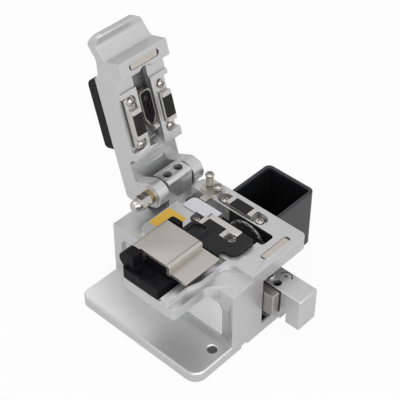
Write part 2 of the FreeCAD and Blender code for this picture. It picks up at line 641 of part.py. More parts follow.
def make_wheel():
    # round blade with a scalloped index ring on its left face
    hub_z = fibre_z - wheel_r
    x0 = wheel_x - wheel_t / 2
    disc = cylinder((x0, wheel_y, hub_z), (1, 0, 0), wheel_r - 0.5, wheel_t)
    edge = cone((x0 + wheel_t / 2, wheel_y, hub_z), (1, 0, 0), wheel_r, wheel_r - 0.5, wheel_t / 2)
    edge2 = cone((x0, wheel_y, hub_z), (1, 0, 0), wheel_r - 0.5, wheel_r, wheel_t / 2)
    wheel = disc.fuse([edge, edge2])
    teeth = 16
    for i in range(teeth):
        a = 2 * math.pi * i / teeth
        y = wheel_y + (wheel_r - 0.2) * math.cos(a)
        z = hub_z + (wheel_r - 0.2) * math.sin(a)
        wheel = wheel.cut(cylinder((x0 - 0.1, y, z), (1, 0, 0), 0.9, wheel_t * 0.45))
    wheel = wheel.cut(cylinder((x0 - 1, wheel_y, hub_z), (1, 0, 0), 1.5 + fit, wheel_t + 2))
    return wheel.removeSplitter()


def make_axle():
    hub_z = fibre_z - wheel_r
    x_up = slot_left_wide + 0.5
    x_right = wheel_x + wheel_t / 2 + 0.05
    rod = cylinder((x_up, wheel_y, hub_z), (1, 0, 0), 1.5, x_right - x_up)
    spacer = cylinder((arm_x1, wheel_y, hub_z), (1, 0, 0), 2.6, wheel_x - wheel_t / 2 - 0.05 - arm_x1)
    head = cylinder((x_right, wheel_y, hub_z), (1, 0, 0), 2.6, 0.9)
    slot = box(x_right + 0.4, x_right + 1, wheel_y - 3, wheel_y + 3, hub_z - 0.25, hub_z + 0.25)
    return rod.fuse([spacer, head]).cut(slot).removeSplitter()


def make_gib():
    # steel slide bar beside the knob; its side groove runs on the fixed rail
    y0 = wheel_y - 24.4
    body = box(gib_x, gib_x + gib_w, y0, wheel_y + 12.0, foot_t + 7.4, foot_t + 17.4)
    body = body.makeChamfer(0.3, [e for e in body.Edges if e.BoundBox.YMax < y0 + 0.01])
    groove = box(gib_x - 1, gib_x + 1.3, rail_y0 - slider_travel - 0.4, wheel_y + 13.0,
                 foot_t + 9.9 - fit, foot_t + 14.9 + fit)
    return body.cut(groove).removeSplitter()


rail_y0 = wheel_y - 19.4 + slider_travel + 0.4


def make_rail():
    x0 = open_x
    body = box(x0, gib_x + 1.25, rail_y0, foot_d - 3.0, foot_t + 9.9, foot_t + 14.9)
    for i in range(3):
        y = rail_y0 + 6 + i * (foot_d - 3.0 - rail_y0 - 12) / 2
        body = body.cut(cylinder((gib_x + 0.4, y, foot_t + 12.4), (1, 0, 0), 1.3, 2))
    return body.removeSplitter()


def make_foot_rail():
    # low rail on the foot under the slider tail
    x0 = knob_x + 2.2
    x1 = knob_x + knob_w - 2.2
    return box(x0, x1, 1.0, foot_d - 4.0, foot_t, foot_t + 2.5 - fit).cut(
        box(x0 + 1.6, x1 - 1.6, 0.0, foot_d, foot_t + 1.7, foot_t + 3)).removeSplitter()


def make_bin():
    # scrap bin: tall box outside the deck edge, low mouth reaching under the right clamp
    z0 = foot_t + fit
    z1 = deck_top - 1.9
    low = deck_under - 0.6
    y0 = front_land + 6.6
    y1 = y0 + bin_l
    x0 = slot_right + 1.2
    xm = deck_right + 0.3
    x1 = xm + bin_w
    outer = slab(xm - 6, x1, y0, y1, z0, z1, [0, 2.6, 2.6, 0])
    outer = outer.cut(box(xm - 7, xm, y0 - 1, y1 + 1, low, z1 + 1))
    inner_end = box(x0, xm - 5, y0, y1, z0, low)
    outer = outer.fuse(inner_end)
    w = bin_wall
    hollow = slab(xm - 6, x1 - w, y0 + w, y1 - w, z0 + w, z1 + 1, [0, 1.4, 1.4, 0])
    hollow_in = box(x0 + w, xm - 5, y0 + w, y1 - w, z0 + w, z1 + 1)
    return outer.cut(hollow).cut(hollow_in).removeSplitter()


def make_bracket():
    # hinge block: shaft bearing with two set screws sunk in its top
    z1 = hinge_z + ear_r
    half = 4.3
    body = profile_x([(hinge_y - half, rear_top), (hinge_y + half, rear_top), (hinge_y + half, z1),
                      (hinge_y - half, z1)], [0, 0, 1.6, 1.6], bracket_x, bracket_x + bracket_w)
    body = body.cut(cylinder((bracket_x - 1, hinge_y, hinge_z), (1, 0, 0), shaft_r, bracket_w + 2))
    for x in bracket_screws():
        body = body.cut(cylinder((x, hinge_y, hinge_z), (0, 0, 1), 1.05, z1 - hinge_z))
        body = body.cut(cylinder((x, hinge_y, bracket_seat), (0, 0, 1), 1.9, z1 - bracket_seat + 1))
    return body.removeSplitter()


def bracket_screws():
    return [bracket_x + 3.4, bracket_x + bracket_w - 3.4]


def make_bracket_screw(x):
    # socket screw that presses on the shaft
    shank_l = bracket_seat - hinge_z - shaft_r
    head = cylinder((x, hinge_y, bracket_seat), (0, 0, 1), 1.8, 1.3)
    shank = cylinder((x, hinge_y, bracket_seat), (0, 0, -1), 1.0, shank_l)
    return head.fuse(shank).cut(hex_socket(x, hinge_y, bracket_seat + 1.3, 1.6, 0.9)).removeSplitter()


def make_shaft():
    # long shaft; its round head with a rim stands outside the right ear
    x0 = lid_x0 - 8.0
    x1 = lid_x1 + 0.1
    rod = cylinder((x0, hinge_y, hinge_z), (1, 0, 0), shaft_r, x1 - x0)
    head = cylinder((x1, hinge_y, hinge_z), (1, 0, 0), 2.4, 1.8)
    rim = cone((x1 + 1.8, hinge_y, hinge_z), (1, 0, 0), 2.4, 1.9, 0.6)
    shaft = rod.fuse([head, rim])
    return shaft.cut(cylinder((x1 + 1.8, hinge_y, hinge_z), (1, 0, 0), 1.1, 2)).removeSplitter()


def make_ring(x0, outer, length):
    ring = cylinder((x0, hinge_y, hinge_z), (1, 0, 0), outer, length)
    return ring.cut(cylinder((x0 - 1, hinge_y, hinge_z), (1, 0, 0), shaft_r, length + 2))


def make_hex_nut(x0):
    nut = hexagon(x0, hinge_y, hinge_z, 5.6, 2.2)
    return nut.cut(cylinder((x0 - 1, hinge_y, hinge_z), (1, 0, 0), shaft_r, 5)).removeSplitter()


def make_acorn(x1):
    # cap nut, dome to the left
    nut = hexagon(x1 - 2.6, hinge_y, hinge_z, 5.6, 2.6)
    neck = cylinder((x1 - 3.7, hinge_y, hinge_z), (1, 0, 0), 2.5, 1.2)
    dome = Part.makeSphere(2.5, Vector(x1 - 3.7, hinge_y, hinge_z))
    body = nut.fuse([neck, dome])
    return body.cut(cylinder((lid_x0 - 8.05, hinge_y, hinge_z), (1, 0, 0), shaft_r, 20)).removeSplitter()


def make_pawl():
    # spring steel plate on the ridge with a tongue over the blade slot
    z0 = deck_top + fit
    x0 = slot_right + 0.6
    body = slab(x0, deck_right - 1.6, pawl_y1 - 1.9, pawl_y2 + 2.3, z0, z0 + pawl_t, 1.8)
    tongue = box(slot_left + 0.2, x0 + 2.5, pawl_y1 - 0.9, pawl_y1 + 2.2, z0, z0 + pawl_t)
    hook = box(slot_left + 0.2, slot_left + 1.0, pawl_y1 - 0.9, pawl_y1 + 2.2, z0 - 1.4, z0 + 0.4)
    body = body.fuse([tongue, hook])
    for x, y in pawl_screws():
        body = body.cut(cylinder((x, y, z0 - 1), (0, 0, 1), 1.1, 3))
    return body.removeSplitter()


def main():
    os.makedirs("parts", exist_ok=True)
    save("body", make_body())
    for i, (x, y) in enumerate(pad_places()):
        save("foot_pad_%d" % (i + 1), cylinder((x, y, -pad_proud), (0, 0, 1), pad_r, pad_t))
    label = profile_x([(6.0, foot_t + 2.35), (foot_d - 8, foot_t + 2.35), (foot_d - 8, label_top),
                       (6.0, label_top)], [0.5, 0.5, 4.0, 4.0], pillar_x + 0.7, pillar_x + 1.2)
    save("label_plate", label)
    sticker = slab(pillar_x + 6.1, pillar_x + 17.0, deck_back - 9.9, deck_back - 0.5, deck_top,
                   deck_top + 0.12, 0.8)
    save("sticker", sticker)
    magnet = slab(magnet_x + 1, magnet_x + 1 + magnet_l, magnet_y - magnet_w / 2, magnet_y + magnet_w / 2,
                  deck_top - 2.5, deck_top - 0.25, 0.3)
    save("base_magnet", magnet)
    save("adaptor_plate", make_adaptor())
    seat = deck_top - 3.6
    up_seat = lid_land + 2.7 - clamp_give - 0.25
    for side, cx, strip in (("left", left_clamp_x, 2.9), ("right", right_clamp_x, 0)):
        save("lower_%s_clamp" % side, clamp_block(cx, seat, fibre_z, 1, strip))
        save("lower_%s_rubber" % side, clamp_rubber(cx, fibre_z, 1))
        upper = clamp_block(cx, up_seat, fibre_z + fit, -1, 0)
        save("upper_%s_clamp" % side, open_lid(upper))
        save("upper_%s_rubber" % side, open_lid(clamp_rubber(cx, fibre_z + fit, -1)))
    for i, (x, y) in enumerate(lower_screws()):
        z = seat + clamp_tab_t + 0.9
        save("lower_screw_%d" % (i + 1), pan_screw(x, y, z, screw_r, 1.5, 0.95, 4.2, 1, 0.9))
        z = up_seat - clamp_tab_t
        save("upper_screw_%d" % (i + 1), open_lid(pan_screw(x, y, z, screw_r, 1.8, 0.95, 6.0, -1)))
    save("holder_base", make_holder())
    save("holder_flap", make_flap())
    save("flap_insert", make_flap_insert())
    save("flap_pin", cylinder((pin_x0, flap_y, flap_z), (1, 0, 0), 1.0, adaptor_x - 1.1 - pin_x0))
    save("hinge_bracket", make_bracket())
    for i, x in enumerate(bracket_screws()):
        save("bracket_screw_%d" % (i + 1), make_bracket_screw(x))
    save("hinge_shaft", make_shaft())
    x = lid_x0 - 0.1
    save("steel_washer", make_ring(x - 0.5, 4.1, 0.5))
    save("brass_washer", make_ring(x - 1.8, 3.0, 1.3))
    save("hex_nut", make_hex_nut(x - 4.0))
    save("cap_nut", make_acorn(x - 4.05))
    save("lid", make_lid())
    save("lid_cover", make_cover())
    low = lid_low
    lid_magnet = slab(lid_magnet_x + 1, lid_magnet_x + 1 + magnet_l, magnet_y - magnet_w / 2,
                      magnet_y + magnet_w / 2, low + 0.25, low + 2.6, 0.3)
    save("lid_magnet", open_lid(lid_magnet))
    save("break_lever", make_lever())
    save("lever_insert", make_lever_insert())
    save("lever_screw", make_lever_screw())
    save("lever_striker", make_lever_tip())
    save("slider_block", make_knob())
    save("slide_bar", make_gib())
    save("side_rail", make_rail())
    save("foot_rail", make_foot_rail())
    save("blade_arm", make_arm())
    save("blade_wheel", make_wheel())
    save("blade_axle", make_axle())
    save("arm_pin", cylinder((knob_x + 0.1, pivot_y, pivot_z), (1, 0, 0), 1.0, knob_w - 0.2))
    set_screw = cylinder((screw_x, screw_y, pivot_z + 1.9), (0, 0, 1), 1.7, foot_t + 17.3 - pivot_z - 1.9)
    set_screw = set_screw.cut(hex_socket(screw_x, screw_y, foot_t + 17.4, 1.9, 1.6))
    save("height_screw", set_screw)
    lock = pan_screw(knob_x + 3.2, screw_y + 3.7, foot_t + 18.3, 1.4, 0.9, 0.95, 2.5)
    save("lock_screw", lock)
    save("waste_bin", make_bin())
    save("pawl_plate", make_pawl())
    for i, (x, y) in enumerate(pawl_screws()):
        z = deck_top + fit + pawl_t
        top = pawl_seats[i]
        save("pawl_screw_%d" % (i + 1), pan_screw(x, y, top, pawl_head_r, pawl_head_h, 0.95, top - deck_top + 4))
        save("pawl_spring_%d" % (i + 1), coil(x, y, z, top, 1.35, 0.2, 2 + 1.5 * i))


def hex_socket(x, y, z, across, depth):
    r = across / 2 / math.cos(math.pi / 6)
    points = [(x + r * math.cos(math.pi * i / 3), y + r * math.sin(math.pi * i / 3)) for i in range(6)]
    return plate(points, 0, z - depth, z + 0.1)


main()
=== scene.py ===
import json
import math
import bmesh
import bpy
import numpy as np
from mathutils import Matrix, Vector

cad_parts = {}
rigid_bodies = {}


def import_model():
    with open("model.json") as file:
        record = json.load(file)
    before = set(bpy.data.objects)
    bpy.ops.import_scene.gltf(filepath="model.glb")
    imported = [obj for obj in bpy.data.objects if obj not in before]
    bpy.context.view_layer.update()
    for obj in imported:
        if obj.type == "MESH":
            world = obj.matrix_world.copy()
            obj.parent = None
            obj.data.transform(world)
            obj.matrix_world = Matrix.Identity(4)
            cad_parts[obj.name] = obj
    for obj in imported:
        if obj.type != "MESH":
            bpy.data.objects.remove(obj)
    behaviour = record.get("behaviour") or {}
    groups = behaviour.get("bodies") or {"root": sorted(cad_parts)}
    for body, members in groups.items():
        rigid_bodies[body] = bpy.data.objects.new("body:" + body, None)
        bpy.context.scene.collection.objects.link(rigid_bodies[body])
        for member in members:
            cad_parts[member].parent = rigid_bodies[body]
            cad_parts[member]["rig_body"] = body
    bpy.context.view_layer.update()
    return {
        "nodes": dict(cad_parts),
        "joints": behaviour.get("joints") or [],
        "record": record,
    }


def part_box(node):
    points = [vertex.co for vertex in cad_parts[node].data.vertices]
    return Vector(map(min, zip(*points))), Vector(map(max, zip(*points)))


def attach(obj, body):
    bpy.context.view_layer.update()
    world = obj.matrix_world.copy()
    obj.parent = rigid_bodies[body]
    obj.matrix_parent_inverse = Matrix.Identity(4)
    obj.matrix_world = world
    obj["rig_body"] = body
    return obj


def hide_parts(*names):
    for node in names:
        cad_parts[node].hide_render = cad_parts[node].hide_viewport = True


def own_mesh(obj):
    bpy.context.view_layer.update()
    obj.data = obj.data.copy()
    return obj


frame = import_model()
nodes = frame["nodes"]
jointByName = {joint["name"]: joint for joint in frame["joints"]}
mm = 0.001
print("frame loaded:", len(nodes), "nodes")

# the lid stands open by lidAngle about its hinge; outOfLid points out of its clamp side
lidAngle = math.radians(jointByName["lid_hinge"]["range_deg"][1])
outOfLid = -Vector((0, math.sin(lidAngle), math.cos(lidAngle)))
hinge = np.array(jointByName["lid_hinge"]["pos_m"])
turnOpen = np.array(Matrix.Rotation(-lidAngle, 3, "X"))


def cornersOf(name):
    # lowest and highest corner of a CAD node at rest
    return tuple(np.array(corner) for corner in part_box(name))


# places that several pieces are measured from: fibre line, face of the closed lid, top of the deck
shared = {"landAboveRubber": 2.4, "adaptorAboveDeck": 1.4}
rubberLow, rubberHigh = cornersOf("lower_right_rubber")
fibreY = (rubberLow[1] + rubberHigh[1]) / 2
lidLand = rubberHigh[2] + shared["landAboveRubber"] * mm
deckTop = cornersOf("adaptor_plate")[1][2] - shared["adaptorAboveDeck"] * mm


# mesh helpers

def meshFrom(name, points, faces, smoothAngle=40):
    # points is an (n, 3) array in metres, faces a list of index arrays with one width each
    mesh = bpy.data.meshes.new(name)
    mesh.from_pydata(points.tolist(), [], [face for block in faces for face in np.asarray(block).tolist()])
    mesh.update()
    work = bmesh.new()
    work.from_mesh(mesh)
    bmesh.ops.recalc_face_normals(work, faces=work.faces)
    work.to_mesh(mesh)
    work.free()
    shadeByAngle(mesh, smoothAngle)
    piece = bpy.data.objects.new(name, mesh)
    bpy.context.scene.collection.objects.link(piece)
    return piece


def shadeByAngle(mesh, degrees):
    mesh.polygons.foreach_set("use_smooth", np.ones(len(mesh.polygons), bool))
    mesh.set_sharp_from_angle(angle=math.radians(degrees))


def gridFaces(rows, columns, closeRows=False, closeColumns=False):
    # quads of a rows by columns grid of points, joined round where a direction is closed
    i = np.arange(rows if closeRows else rows - 1)
    j = np.arange(columns if closeColumns else columns - 1)
    i, j = np.meshgrid(i, j, indexing="ij")
    nextI, nextJ = (i + 1) % rows, (j + 1) % columns
    quads = np.stack([i * columns + j, i * columns + nextJ, nextI * columns + nextJ, nextI * columns + j], axis=-1)
    return quads.reshape(-1, 4)


def axisFrame(direction):
    # three unit vectors as rows, the last along direction
    along = Vector(direction).normalized()
    start = Vector((0, 1, 0)) if abs(along.x) > 0.9 else Vector((1, 0, 0))
    side = (start - along * along.dot(start)).normalized()
    return np.array([side, along.cross(side), along])


def turned(radius, height, centre, direction, sides=48, across=0, ring=False):
    # a profile of radius and height turned round an axis: x = r cos a, y = r sin a, z = h
    # the first and last profile points lie on the axis and become poles, unless it is a ring
    angle = np.linspace(0, 2 * math.pi, sides, endpoint=False)
    r, h = np.asarray(radius, float)[:, None], np.asarray(height, float)[:, None]
    if not ring:
        r, h = r[1:-1], h[1:-1]
    if across:
        # hexagon: the flats cut every radius off at half the width across them
        r = np.minimum(r, across / 2 / np.cos(angle % (math.pi / 3) - math.pi / 6))
    local = np.stack(np.broadcast_arrays(r * np.cos(angle), r * np.sin(angle), h), axis=-1).reshape(-1, 3)
    rows = len(r)
    if ring:
        faces = [gridFaces(rows, sides, closeRows=True, closeColumns=True)]
    else:
        this = np.arange(sides)
        following = (this + 1) % sides
        lowPole, highPole, lastRow = rows * sides, rows * sides + 1, (rows - 1) * sides
        local = np.vstack([local, [[0, 0, height[0]], [0, 0, height[-1]]]])
        faces = [gridFaces(rows, sides, closeColumns=True),
                 np.stack([np.full(sides, lowPole), following, this], axis=-1),
                 np.stack([np.full(sides, highPole), lastRow + this, lastRow + following], axis=-1)]
    return local @ axisFrame(direction) + np.asarray(centre, float), faces


def ribbon(name, path, width, low, high, place=None):
    # closed flat strip on a level face: half the width to each side of every path point
    path, half = np.asarray(path, float), np.broadcast_to(np.asarray(width, float) / 2, len(path))[:, None]
    along = np.gradient(path, axis=0)
    side = np.stack([along[:, 1], -along[:, 0]], axis=-1) / np.linalg.norm(along, axis=1)[:, None]
    left, right = path - side * half, path + side * half
    lift = np.ones((len(path), 1))
    section = [np.hstack([edge, lift * z]) for edge, z in ((left, high), (right, high), (right, low), (left, low))]
    points = np.stack(section, axis=1).reshape(-1, 3)
    if place:
        points = place(points)
    last = 4 * (len(path) - 1)
    ends = np.array([[0, 1, 2, 3], [last, last + 3, last + 2, last + 1]])
    return meshFrom(name, points, [gridFaces(len(path), 4, closeColumns=True), ends], 30)


def reliefSlab(name, origin, across, up, height, depth):
    # slab whose outer face is raised by the height array; its rim goes back by depth
    rows, columns = height.shape
    u = np.concatenate([[0], np.linspace(0, 1, columns), [1]])
    v = np.concatenate([[0], np.linspace(0, 1, rows), [1]])
    raised = np.full((rows + 2, columns + 2), -depth)
    raised[1:-1, 1:-1] = height
    across, up = np.asarray(across, float), np.asarray(up, float)
    out = np.cross(across, up)
    out = out / np.linalg.norm(out)
    points = np.asarray(origin, float) + u[None, :, None] * across + v[:, None, None] * up + raised[..., None] * out
    rows, columns = raised.shape
    index = np.arange(rows * columns).reshape(rows, columns)
    rim = np.concatenate([index[0, :-1], index[:-1, -1], index[-1, :0:-1], index[:0:-1, 0]])
    return meshFrom(name, points.reshape(-1, 3), [gridFaces(rows, columns), rim[None, ::-1]], 50)


def onOpenLid(closed):
    # places on the closed lid, turned back about the hinge to the lid as it stands open
    return (np.asarray(closed, float) - hinge) @ turnOpen.T + hinge


def roundedBlock(name, low, high, r, place=None):
    # box from low to high, its section along X rounded by r: a profile carried along a straight path
    low, high = np.asarray(low, float), np.asarray(high, float)
    swing = np.linspace(0, math.pi / 2, 5)
    arc = np.stack([np.cos(swing), np.sin(swing)], axis=-1)
    section = []
    for turn, centre in enumerate(((high[1] - r, high[2] - r), (low[1] + r, high[2] - r), (low[1] + r, low[2] + r),
                                   (high[1] - r, low[2] + r))):
        c, s = math.cos(turn * math.pi / 2), math.sin(turn * math.pi / 2)
        section.append(np.array(centre) + r * arc @ np.array([[c, s], [-s, c]]))
    section = np.vstack(section)
    x = np.array([low[0], high[0]])
    points = np.concatenate([np.stack([np.full(len(section), value), *section.T], axis=-1) for value in x])
    if place:
        points = place(points)
    count = len(section)
    ends = np.array([np.arange(count)[::-1], np.arange(count) + count])
    return meshFrom(name, points, [gridFaces(2, count, closeColumns=True), ends], 40)


def film(name, corners, radii, low, high):
    # thin level sheet: an outline with each corner rounded by its own radius, between two heights
    corners = np.asarray(corners, float)
    cornerSteps = 8
    edge = []
    for i, r in enumerate(radii):
        back, ahead = corners[i - 1] - corners[i], corners[(i + 1) % len(corners)] - corners[i]
        back, ahead = back / np.linalg.norm(back), ahead / np.linalg.norm(ahead)
        # the rounding follows a parabola between the two points at distance r from the corner
        t = np.linspace(0, 1, cornerSteps if r else 1)[:, None]
        edge.append(corners[i] + r * ((1 - t) ** 2 * back + t ** 2 * ahead))
    edge = np.vstack(edge)
    count = len(edge)
    points = np.vstack([np.column_stack([edge, np.full(count, low)]), np.column_stack([edge, np.full(count, high)])])
    ends = np.array([np.arange(count)[::-1], np.arange(count) + count])
    return meshFrom(name, points, [gridFaces(2, count, closeColumns=True), ends], 40)


def nodePoints(name):
    mesh = nodes[name].data
    points = np.zeros(len(mesh.vertices) * 3)
    mesh.vertices.foreach_get("co", points)
    return points.reshape(-1, 3)


edgeFinish = {"merge": 2e-6, "flatAngle": 0.6, "segments": 2, "sharpAngle": 32, "smoothAngle": 38}


def softEdges(name, width, settings):
    # a merged copy of a CAD node whose sharp edges are broken by a small bevel
    copy = bpy.data.meshes.new(name + "_finished")
    work = bmesh.new()
    work.from_mesh(nodes[name].data)
    bmesh.ops.remove_doubles(work, verts=work.verts, dist=settings["merge"])
    bmesh.ops.dissolve_limit(work, angle_limit=math.radians(settings["flatAngle"]), verts=work.verts,
                             edges=work.edges, use_dissolve_boundaries=False)
    work.to_mesh(copy)
    work.free()
    piece = bpy.data.objects.new(name + "_finished", copy)
    bpy.context.scene.collection.objects.link(piece)
    shadeByAngle(copy, settings["smoothAngle"])
    bevel = piece.modifiers.new("brokenEdge", "BEVEL")
    bevel.width = width * mm
    bevel.segments = settings["segments"]
    bevel.limit_method = "ANGLE"
    bevel.angle_limit = math.radians(settings["sharpAngle"])
    bevel.use_clamp_overlap = True
    bevel.harden_normals = True
    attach(piece, nodes[name]["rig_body"])
    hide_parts(name)
    return piece


# shader groups, built once and used by several finishes

def newGroup(name, inputs, outputs):
    group = bpy.data.node_groups.new(name, "ShaderNodeTree")
    for label, kind, value in inputs:
        socket = group.interface.new_socket(label, in_out="INPUT", socket_type=kind)
        socket.default_value = value
    for label, kind in outputs:
        group.interface.new_socket(label, in_out="OUTPUT", socket_type=kind)
    return group, group.nodes.new("NodeGroupInput"), group.nodes.new("NodeGroupOutput")


def addNode(tree, kind, inputs=None, **settings):
    node = tree.nodes.new(kind)
    for key, value in settings.items():
        setattr(node, key, value)
    for key, value in (inputs or {}).items():
        node.inputs[key].default_value = value
    return node


def edgeWearAndHighlightGroup():
    # mask of the edges, where edge wear and a painted highlight go: one minus the dot of the true normal and a rounded
    # one, broken up by noise
    group, given, out = newGroup("edgeWearAndHighlight", [("Radius", "NodeSocketFloat", 0.0004), ("Gain", "NodeSocketFloat", 6.0)],
                                 [("Mask", "NodeSocketFloat")])
    link = group.links.new
    rounded = addNode(group, "ShaderNodeBevel", samples=4)
    flat = addNode(group, "ShaderNodeNewGeometry")
    dot = addNode(group, "ShaderNodeVectorMath", operation="DOT_PRODUCT")
    away = addNode(group, "ShaderNodeMath", {0: 1.0}, operation="SUBTRACT")
    gain = addNode(group, "ShaderNodeMath", operation="MULTIPLY", use_clamp=True)
    place = addNode(group, "ShaderNodeTexCoord")
    noise = addNode(group, "ShaderNodeTexNoise", {"Scale": 900.0, "Detail": 3.0})
    spread = addNode(group, "ShaderNodeMapRange", {"From Min": 0.35, "From Max": 0.6, "To Min": 0.35, "To Max": 1.0})
    both = addNode(group, "ShaderNodeMath", operation="MULTIPLY", use_clamp=True)
    link(given.outputs["Radius"], rounded.inputs["Radius"])
    link(rounded.outputs["Normal"], dot.inputs[0])
    link(flat.outputs["Normal"], dot.inputs[1])
    link(dot.outputs["Value"], away.inputs[1])
    link(away.outputs[0], gain.inputs[0])
    link(given.outputs["Gain"], gain.inputs[1])
    link(place.outputs["Object"], noise.inputs["Vector"])
    link(noise.outputs["Fac"], spread.inputs["Value"])
    link(gain.outputs[0], both.inputs[0])
    link(spread.outputs[0], both.inputs[1])
    link(both.outputs[0], out.inputs["Mask"])
    return group


def grainGroup():
    # fine blasted or moulded grain: a fast noise for the height, a slow one for cloudy patches
    group, given, out = newGroup("fineGrain", [("Fine", "NodeSocketFloat", 9000.0), ("Patch", "NodeSocketFloat", 90.0)],
                                 [("Height", "NodeSocketFloat"), ("Cloud", "NodeSocketFloat")])
    link = group.links.new
    place = addNode(group, "ShaderNodeTexCoord")
    fine = addNode(group, "ShaderNodeTexNoise", {"Detail": 2.0, "Roughness": 0.6})
    patch = addNode(group, "ShaderNodeTexNoise", {"Detail": 4.0, "Roughness": 0.55})
    for noise, label in ((fine, "Fine"), (patch, "Patch")):
        link(place.outputs["Object"], noise.inputs["Vector"])
        link(given.outputs[label], noise.inputs["Scale"])
    link(fine.outputs["Fac"], out.inputs["Height"])
    link(patch.outputs["Fac"], out.inputs["Cloud"])
    return group


def brushGroup():
    # long thin streaks: noise on coordinates squeezed along the brushing direction
    group, given, out = newGroup("brushLines", [("Stretch", "NodeSocketVector", (1.0, 1.0, 1.0)),
                                                ("Scale", "NodeSocketFloat", 2500.0)],
                                 [("Height", "NodeSocketFloat")])
    link = group.links.new
    place = addNode(group, "ShaderNodeTexCoord")
    squeeze = addNode(group, "ShaderNodeVectorMath", operation="MULTIPLY")
    lines = addNode(group, "ShaderNodeTexNoise", {"Detail": 3.0, "Roughness": 0.65})
    link(place.outputs["Object"], squeeze.inputs[0])
    link(given.outputs["Stretch"], squeeze.inputs[1])
    link(squeeze.outputs[0], lines.inputs["Vector"])
    link(given.outputs["Scale"], lines.inputs["Scale"])
    link(lines.outputs["Fac"], out.inputs["Height"])
    return group


edgeWearAndHighlight = edgeWearAndHighlightGroup()
fineGrain = grainGroup()
brushLines = brushGroup()


# what every finish shares: shade of the clouds, lift of the edge colour for edge wear with a painted highlight, depth
# of the relief in metres
finishShare = {"cloudShade": 0.94, "edgeGain": 1.15, "edgeAdd": 0.02, "reliefDepth": 0.00002}


def finish(name, colour, roughness, bump, metallic=0.0, roughVary=0.08, fine=9000.0,
           edgeColour=None, edgeRadius=0.0004, edgeGain=6.0, brushed=None, brushScale=2500.0, specular=0.5):
    # one finish: cloudy base colour, lighter edges for edge wear with a painted highlight, grain or brushing in
    # roughness and height
    material = bpy.data.materials.new(name)
    material.use_nodes = True
    tree = material.node_tree
    link = tree.links.new
    shader = tree.nodes["Principled BSDF"]
    shader.inputs["Metallic"].default_value = metallic
    shader.inputs["Specular IOR Level"].default_value = specular
    grain = addNode(tree, "ShaderNodeGroup", node_tree=fineGrain)
    grain.inputs["Fine"].default_value = fine
    edgeWearHighlight = addNode(tree, "ShaderNodeGroup", node_tree=edgeWearAndHighlight)
    edgeWearHighlight.inputs["Radius"].default_value = edgeRadius
    edgeWearHighlight.inputs["Gain"].default_value = edgeGain
    cloud = addNode(tree, "ShaderNodeMix", data_type="RGBA")
    cloud.inputs["A"].default_value = (*colour, 1)
    cloudShade = [c * finishShare["cloudShade"] for c in colour]
    # lighter edge colour: edge wear with a painted highlight
    edgeWearHighlightColour = [min(1, c * finishShare["edgeGain"] + finishShare["edgeAdd"]) for c in colour]
    cloud.inputs["B"].default_value = (*cloudShade, 1)
    edge = addNode(tree, "ShaderNodeMix", data_type="RGBA")
    edge.inputs["B"].default_value = (*(edgeColour or edgeWearHighlightColour), 1)
    link(grain.outputs["Cloud"], cloud.inputs["Factor"])
    link(cloud.outputs["Result"], edge.inputs["A"])
    link(edgeWearHighlight.outputs["Mask"], edge.inputs["Factor"])
    link(edge.outputs["Result"], shader.inputs["Base Color"])
    rough = addNode(tree, "ShaderNodeMapRange", {"To Min": roughness - roughVary,
                                                 "To Max": roughness + roughVary})
    height = grain.outputs["Height"]
    if brushed:
        lines = addNode(tree, "ShaderNodeGroup", node_tree=brushLines)
        lines.inputs["Stretch"].default_value = brushed
        lines.inputs["Scale"].default_value = brushScale
        height = lines.outputs["Height"]
        link(height, rough.inputs["Value"])
    else:
        link(grain.outputs["Cloud"], rough.inputs["Value"])
    link(rough.outputs[0], shader.inputs["Roughness"])
    relief = addNode(tree, "ShaderNodeBump", {"Strength": bump, "Distance": finishShare["reliefDepth"]})
    link(height, relief.inputs["Height"])
    link(relief.outputs["Normal"], shader.inputs["Normal"])
    return material


# edgeColour is the lighter colour of worn edges with their painted highlight
castAluminium = finish("blastedAluminium", (0.60, 0.60, 0.605), metallic=0.8, roughness=0.33, roughVary=0.03,
                       fine=11000, bump=0.10, edgeColour=(0.95, 0.95, 0.95), edgeGain=8, edgeRadius=0.00025)
lidAluminium = finish("blastedLid", (0.60, 0.60, 0.605), metallic=0.8, roughness=0.31, roughVary=0.03,
                      fine=11000, bump=0.10, edgeColour=(0.95, 0.95, 0.95), edgeGain=8, edgeRadius=0.00025)
warmSteel = finish("satinSteel", (0.51, 0.48, 0.445), metallic=0.85, roughness=0.32, roughVary=0.04, fine=12000,
                   bump=0.08, edgeColour=(0.78, 0.75, 0.70), edgeGain=5)
groundSteel = finish("groundSteel", (0.60, 0.59, 0.57), metallic=0.85, roughness=0.34, roughVary=0.06,
                     brushed=(1.0, 0.05, 1.0), brushScale=4000, bump=0.12, edgeColour=(0.82, 0.81, 0.78))
brightSteel = finish("brightScrew", (0.54, 0.52, 0.49), metallic=1.0, roughness=0.18, roughVary=0.05, fine=3000,
                     bump=0.05)
bluedSteel = finish("blackenedSteel", (0.030, 0.030, 0.032), metallic=0.6, roughness=0.38, fine=7000, bump=0.2,
                    edgeColour=(0.16, 0.16, 0.16), edgeGain=3)
brassMetal = finish("brassMetal", (0.36, 0.26, 0.16), metallic=0.9, roughness=0.3, roughVary=0.06, bump=0.1)
blackPlastic = finish("blackPlastic", (0.009, 0.009, 0.010), roughness=0.42, specular=0.26, roughVary=0.05,
                      fine=6000, bump=0.18, edgeColour=(0.05, 0.05, 0.055), edgeGain=3)
holderPlastic = finish("holderPlastic", (0.005, 0.005, 0.006), roughness=0.5, specular=0.10, roughVary=0.05,
                       fine=6000, bump=0.18, edgeColour=(0.04, 0.04, 0.045), edgeGain=3)
coverPlastic = finish("coverPlastic", (0.008, 0.008, 0.009), roughness=0.45, specular=0.12, roughVary=0.05,
                      fine=5000, bump=0.2, edgeColour=(0.04, 0.04, 0.04), edgeGain=3)
